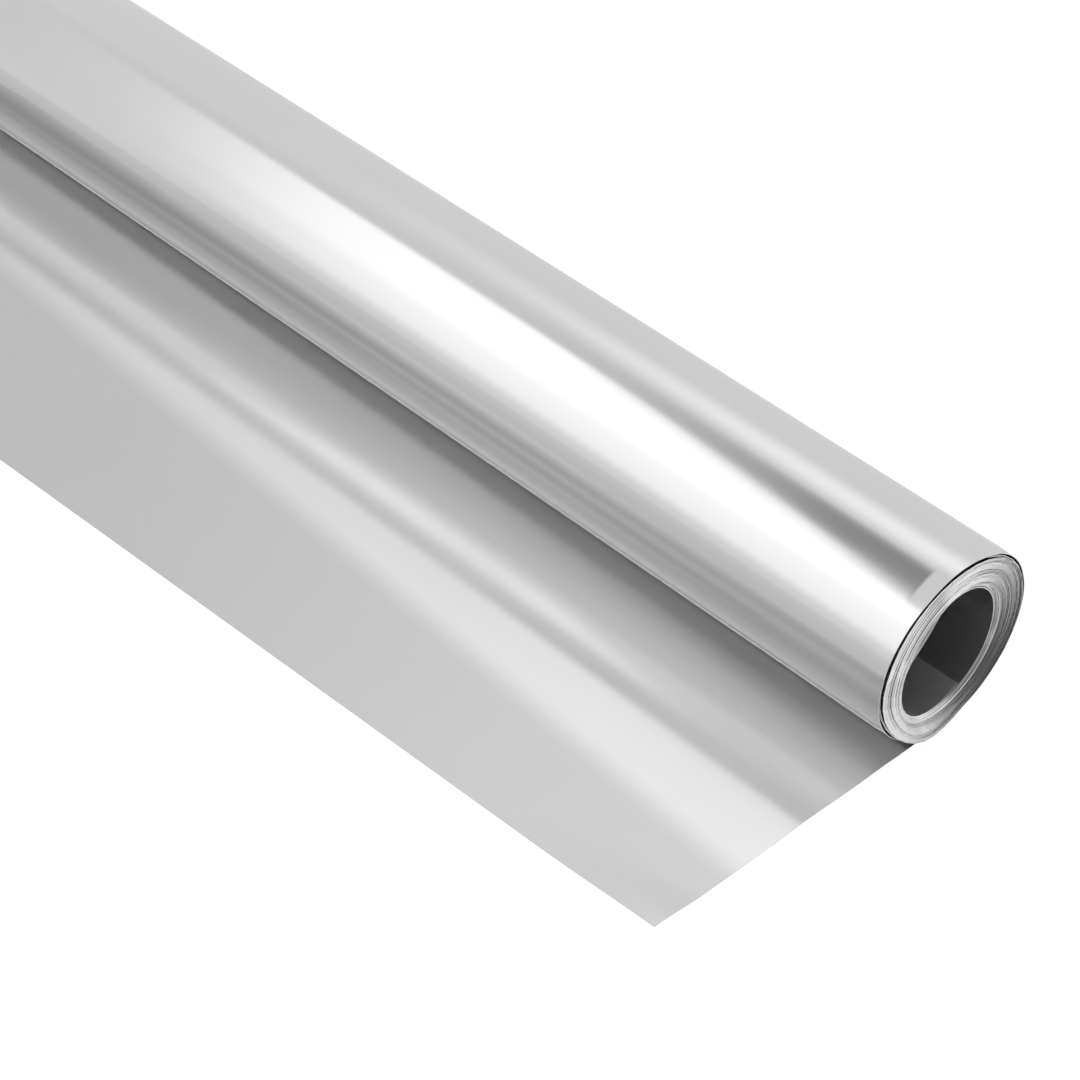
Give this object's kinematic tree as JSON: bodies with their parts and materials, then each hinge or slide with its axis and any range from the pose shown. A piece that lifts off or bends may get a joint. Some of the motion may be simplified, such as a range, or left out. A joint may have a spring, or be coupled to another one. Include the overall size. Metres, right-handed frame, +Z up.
{
  "type": "aluminium foil roll",
  "caption": "Foil strip wound on itself into a loose open roll without a core; its outer end is pulled out flat from under the roll, and a holder's rod fits through the hole.",
  "frame": {"origin": "On the table, on the flat foot straight below the axis of the hole, midway along the roll", "axes": "+X along the roll towards the end that the picture shows, -Y the way the pulled-out sheet points, +Z up"},
  "size_m": [0.451, 0.151, 0.0574],
  "materials": {
    "foil": "satin"
  },
  "bodies": {
    "root": {"foil": "foil"}
  },
  "joints": []
}
